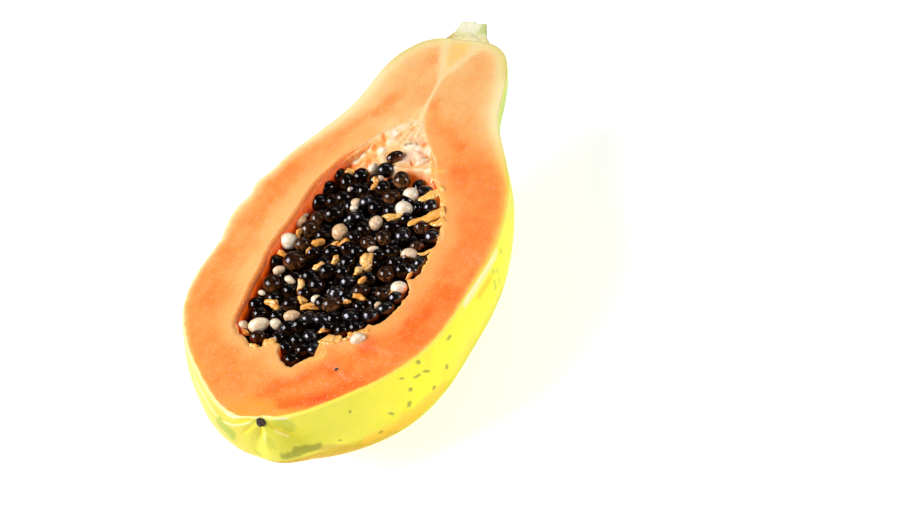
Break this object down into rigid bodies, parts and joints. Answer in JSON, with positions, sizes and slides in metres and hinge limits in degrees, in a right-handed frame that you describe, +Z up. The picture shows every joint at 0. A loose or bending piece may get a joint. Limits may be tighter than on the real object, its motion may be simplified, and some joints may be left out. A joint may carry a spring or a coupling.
{
  "type": "papaya half",
  "caption": "Ripe papaya cut lengthwise: one half with peel, orange flesh, an open cavity heaped with dark seeds, and the cut stub of its stem, lying cut face up.",
  "frame": {"origin": "middle of the small flat spot on the round back, on the surface that the half lies on", "axes": "+Z up out of the cut face, +Y along the fruit towards the stem, +X across it"},
  "size_m": [0.0947, 0.1845, 0.0502],
  "materials": {
    "flesh": "moist cut fruit flesh",
    "peel": "smooth waxy peel",
    "seed_coat": "wet, glassy",
    "pale_seed": "moist",
    "pulp": "moist, fibrous",
    "stem": "matt, fibrous",
    "scar": "dry, rough"
  },
  "bodies": {
    "root": {"fruit_half": "flesh", "seed_mass": "seed_coat", "stem_stub": "stem"}
  },
  "joints": []
}
